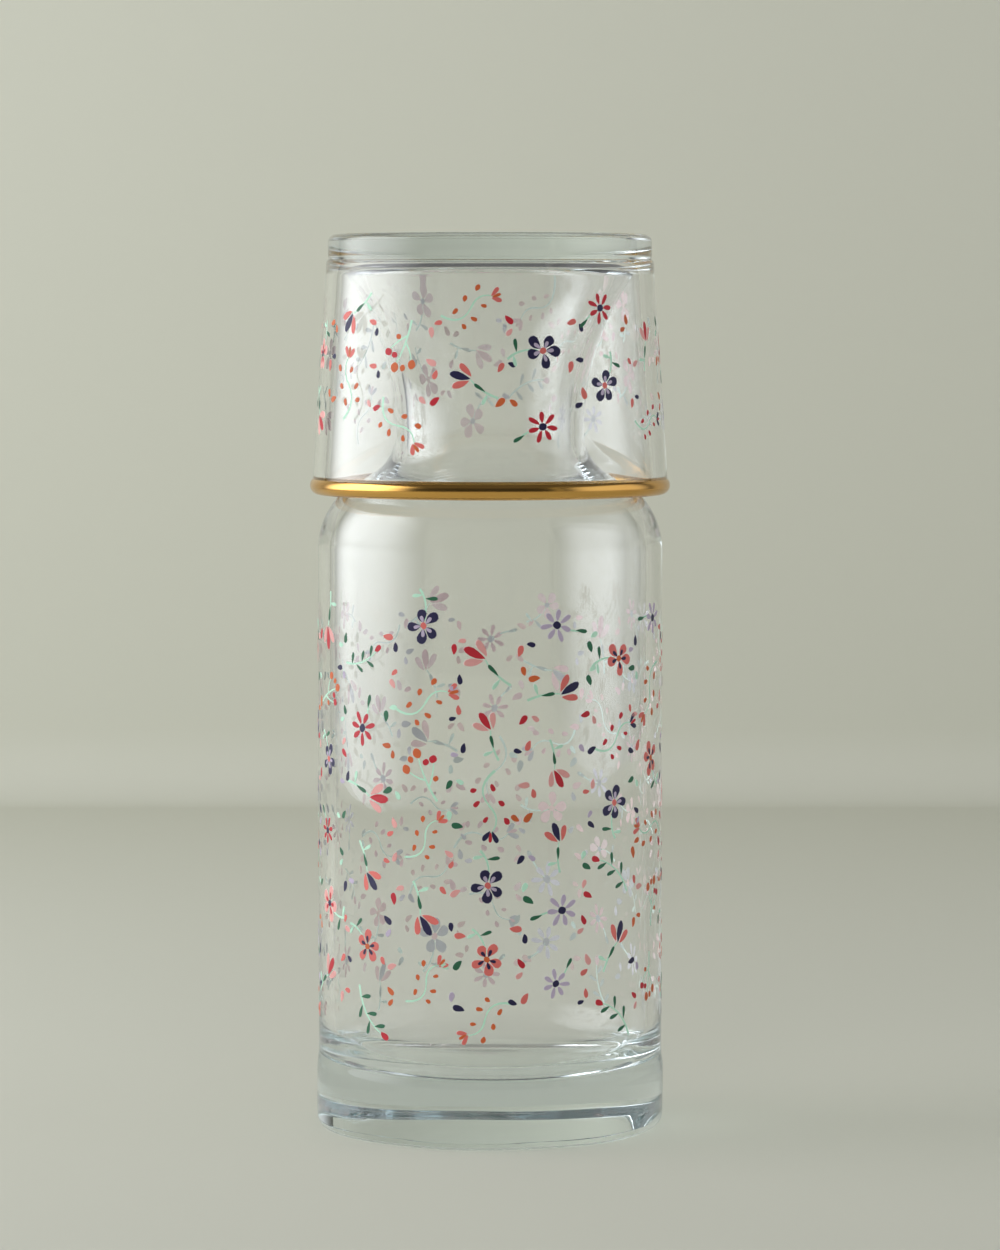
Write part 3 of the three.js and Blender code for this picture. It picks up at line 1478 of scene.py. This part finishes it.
@dataclass(frozen=True)
class SoftBox:
    """A glowing panel that faces across the set, dimmer towards its edges and towards the camera."""

    name: str
    place: Place
    size: Point
    level: float
    soft: Point
    near_share: float = 1.0
    through: Colour = (0.55, 0.555, 0.49)
    colour: Colour = (0.97, 1.0, 1.04)

    def mesh(self) -> Mesh:
        """Make the panel, square to X, with its bright side towards the set.

        Returns:
            The panel. What is seen of it straight through glass is as pale as the room.
        """
        x, y, z = self.place
        half_y, half_z = self.size[0] / 2, self.size[1] / 2
        side = 1 if x < 0 else -1
        corners = ((-side, -1), (side, -1), (side, 1), (-side, 1))
        mesh = bpy.data.meshes.new(self.name)
        mesh.from_pydata([(x, y + a * half_y, z + b * half_z) for a, b in corners], [], [(0, 1, 2, 3)])
        finish = Finish(self.name)
        _, along, above = finish.axes(finish.place())
        across = (along - (y - half_y)) / self.size[0]
        up = (above - (z - half_z)) / self.size[1]
        slope = self.near_share + (1 - self.near_share) * across
        share = slope * self._edge(finish, across, self.soft[0]) * self._edge(finish, up, self.soft[1])
        path = finish.add("ShaderNodeLightPath")
        straight = 1 - finish.math("MINIMUM", finish.out(path, "Glossy Depth"), 1.0)
        box = finish.mix(share, finish.glow(BLACK), finish.glow(self.colour, self.level))
        through_glass = finish.out(path, "Is Transmission Ray") * straight
        front = finish.mix(through_glass, box, finish.glow(self.through))
        mesh.materials.append(finish.surface(finish.one_sided(front)))
        return mesh

    def show(self, panel: Piece) -> None:
        """Hide the panel from the camera, and let other light through it."""
        panel.visible_camera = False
        panel.visible_shadow = False

    @staticmethod
    def _edge(finish: Finish, along: Term, soft: float) -> Term:
        """Light along one side of the box.

        Args:
            finish: The panel's material.
            along: Place along the side, from 0 to 1.
            soft: Share of the side over which the light fades at each end.

        Returns:
            The share of the full light.
        """
        near = finish.math("MINIMUM", finish.math("MINIMUM", along, 1 - along) / soft, 1.0)
        return ease(near)


@dataclass(frozen=True)
class FrontFill:
    """A wide lamp over the camera that lights colours evenly and mirrors nowhere."""

    place: Place = (0.0, -1.7, 1.0)
    aim: Place = (0.0, 0.0, 0.12)
    size: Point = (1.8, 1.2)
    level: float = 0.9

    def hang(self) -> None:
        """Hang the lamp."""
        light = bpy.data.lights.new("front_fill", "AREA")
        light.shape = "RECTANGLE"
        light.size, light.size_y = self.size
        light.energy = self.level * math.pi * self.size[0] * self.size[1]
        lamp = bpy.data.objects.new("front_fill", light)
        lamp.location = self.place
        lamp.rotation_euler = (Vector(self.aim) - Vector(self.place)).to_track_quat("-Z", "Y").to_euler()
        lamp.visible_camera = False
        lamp.visible_glossy = False
        lamp.visible_transmission = False
        bpy.context.scene.collection.objects.link(lamp)


@dataclass(frozen=True)
class Card:
    """A dark card round the front of the set, which only gloss sees, or glass as well."""

    name: str
    low: float
    high: float
    through: bool
    radius: float = 1.6
    start: float = math.radians(-60)
    end: float = math.radians(42)
    back: float = 0.80
    back_low: float = 0.75
    level: float = 0.05
    steps: int = 12

    def mesh(self) -> Mesh:
        """Bend the card, with a roof over the set if glass sees it.

        Returns:
            The card, in its dark paper.
        """
        sides = (-self.radius, self.radius)
        points = [(x, self.back, z) for z in (self.back_low, self.high) for x in sides]
        faces = [(0, 1, 3, 2)] if self.through else []
        first = len(points)
        for step in range(self.steps + 1):
            angle = self.start + (self.end - self.start) * step / self.steps
            x, y = self.radius * math.sin(angle), -self.radius * math.cos(angle)
            points += [(x, y, self.low), (x, y, self.high)]
            low, top = first + 2 * step, first + 2 * step + 1
            if step:
                faces.append((low - 2, low, top, top - 2))
        if self.through:
            faces.append((2, 3, *range(first + 2 * self.steps + 1, first, -2)))
        mesh = bpy.data.meshes.new(self.name)
        mesh.from_pydata(points, [], faces)
        finish = Finish(self.name)
        mesh.materials.append(finish.surface(finish.glow((self.level,) * 3)))
        return mesh

    def show(self, card: Piece) -> None:
        """Hide the card from every ray but those of gloss, and of glass if it is for them.

        Args:
            card: The card in the scene.
        """
        card.visible_camera = False
        card.visible_diffuse = False
        card.visible_shadow = False
        card.visible_transmission = self.through


@dataclass
class Studio:
    """A pale sweep, two soft boxes, dark cards round the camera, and the camera."""

    camera_place: Place = (0.0025, -1.215, 0.205)
    camera_aim: Place = (0.0025, 0.0, 0.1256)
    lens: float = 140.2
    sensor: float = 36.0
    wall_distance: float = 0.80
    sweep_round: float = 0.03
    half_width: float = 3.0
    front: float = -3.0
    wall_height: float = 0.75
    set_half_width: float = 0.28
    set_front: float = -0.40
    set_fade: float = 0.5
    pale: Colour = (0.49, 0.497, 0.42)
    sweep_colour: Colour = (0.625, 0.625, 0.532)
    fill: Colour = (0.42, 0.42, 0.42)
    bounces: int = 32
    sweep_steps: int = 8
    boxes: tuple[SoftBox, ...] = (
        SoftBox("key_box", (-0.85, 0.0, 0.50), (1.6, 1.3), 5.3, (0.42, 0.25), 0.5),
        SoftBox("right_box", (1.0, -0.1, 0.45), (1.7, 1.2), 1.0, (0.3, 0.25)),
    )
    fill_lamp: FrontFill = FrontFill()
    cards: tuple[Card, ...] = (
        Card("front_card", 0.0, 1.3, False),
        Card("canopy", 1.28, 1.3, True, level=0.12),
    )

    def set_up(self) -> None:
        """Build the studio round the object."""
        scene = bpy.context.scene
        scene.view_settings.view_transform = "Standard"
        scene.cycles.max_bounces = self.bounces
        scene.cycles.transmission_bounces = self.bounces
        scene.cycles.glossy_bounces = self.bounces
        scene.cycles.transparent_max_bounces = self.bounces
        self._light_world(scene)
        self._sweep()
        for card in self.cards:
            card.show(self._stand(card.name, card.mesh()))
        for box in self.boxes:
            box.show(self._stand(box.name, box.mesh()))
        self.fill_lamp.hang()
        data = bpy.data.cameras.new("camera")
        data.lens = self.lens
        data.sensor_width = self.sensor
        camera = bpy.data.objects.new("camera", data)
        camera.location = self.camera_place
        aim = Vector(self.camera_aim) - Vector(self.camera_place)
        camera.rotation_euler = aim.to_track_quat("-Z", "Y").to_euler()
        scene.collection.objects.link(camera)
        scene.camera = camera

    def _light_world(self, scene: bpy.types.Scene) -> None:
        """Show a pale room to the camera, to metal and through glass, and light softly from it.

        Args:
            scene: What gets the room.
        """
        scene.world = bpy.data.worlds.new("room")
        scene.world.use_nodes = True
        scene.world.node_tree.nodes.clear()
        graph = Graph(scene.world.node_tree)
        fill = graph.add("ShaderNodeBackground", {"Color": (*self.fill, 1.0)})
        pale = graph.add("ShaderNodeBackground", {"Color": (*self.pale, 1.0)})
        graph.add("ShaderNodeOutputWorld", {0: graph.mix(graph.seen(), fill, pale)})
        scene.world.cycles.sampling_method = "NONE"

    def _sweep(self) -> None:
        """Lay the floor and run it up into the wall behind, which is clear from its back."""
        rounding = self.sweep_round
        turn_start = self.wall_distance - rounding
        outline = [(self.front, 0.0), (turn_start, 0.0)]
        for step in range(1, self.sweep_steps + 1):
            angle = QUARTER * step / self.sweep_steps
            y, z = turn_start + rounding * math.sin(angle), rounding - rounding * math.cos(angle)
            outline.append((y, z))
        outline.append((self.wall_distance, self.wall_height))
        points = [(side * self.half_width, y, z) for y, z in outline for side in (-1, 1)]
        faces = [(2 * n, 2 * n + 1, 2 * n + 3, 2 * n + 2) for n in range(len(outline) - 1)]
        mesh = bpy.data.meshes.new("sweep")
        mesh.from_pydata(points, [], faces)
        mesh.shade_smooth()
        finish = Finish("pale_sweep")
        paper = finish.add(
            "ShaderNodeBsdfPrincipled",
            {"Base Color": (*self.sweep_colour, 1.0), "Roughness": 0.9, "Specular IOR Level": 0.1},
        )
        x, y, _ = finish.axes(finish.place())
        aside = finish.math("ABSOLUTE", x) - self.set_half_width
        away = finish.math("MAXIMUM", finish.math("MAXIMUM", aside, self.set_front - y), 0.0)
        far = finish.math("MINIMUM", away / self.set_fade, 1.0)
        ground = finish.mix(finish.seen() * ease(far), paper, finish.glow(self.pale))
        mesh.materials.append(finish.surface(finish.one_sided(ground)))
        self._stand("sweep", mesh)

    @staticmethod
    def _stand(name: str, mesh: Mesh) -> Piece:
        """Put a mesh in the scene as an object of its own.

        Args:
            name: Its name.
            mesh: The mesh.

        Returns:
            The object that shows it.
        """
        thing = bpy.data.objects.new(name, mesh)
        bpy.context.scene.collection.objects.link(thing)
        return thing


def main() -> None:
    """Build every piece, light it and report."""
    logging.basicConfig(level=logging.INFO, format="%(name)s: %(message)s")
    lathe = Lathe()
    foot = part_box("carafe_glass")
    rim_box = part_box("gold_rim")
    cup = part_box("tumbler_glass")
    glass = ClearGlass("carafe_glass")
    carafe = Carafe(foot_radius=foot[1][0], mouth_height=foot[1][2])
    body = carafe.build(lathe, glass.material())
    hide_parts("carafe_glass")
    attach(body, "carafe")
    log.info("carafe: %d faces", len(body.data.polygons))
    rim = GoldRim(outer_radius=rim_box[1][0], lowest=rim_box[0][2])
    bead = rim.build(lathe, SatinGold().material())
    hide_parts("gold_rim")
    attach(bead, "tumbler")
    log.info("gold lip: %d faces", len(bead.data.polygons))
    tumbler = Tumbler(top=cup[1][2], rim=rim)
    cover = tumbler.build(lathe, ClearGlass("tumbler_glass").material())
    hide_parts("tumbler_glass")
    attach(cover, "tumbler")
    log.info("tumbler: %d faces", len(cover.data.polygons))
    prints = FlowerPrint(MotifBook(), FiredEnamel().material())
    band = PrintField(
        low=23 * MM,
        high=137 * MM,
        radius_low=carafe.body_radius,
        radius_high=carafe.body_radius,
        columns=16,
        rows=6,
        seed=3,
    )
    flowers = prints.lay("carafe_flowers", band)
    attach(flowers, "carafe")
    log.info("carafe flowers: %d faces", len(flowers.data.polygons))
    low, high = 168.5 * MM, 213.5 * MM
    cone = PrintField(
        low=low,
        high=high,
        radius_low=tumbler.radius_at(low),
        radius_high=tumbler.radius_at(high),
        columns=15,
        rows=2,
        seed=11,
    )
    cup_flowers = prints.lay("tumbler_flowers", cone)
    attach(cup_flowers, "tumbler")
    log.info("tumbler flowers: %d faces", len(cup_flowers.data.polygons))
    Studio().set_up()
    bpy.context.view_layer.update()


if __name__ == "__main__":
    main()
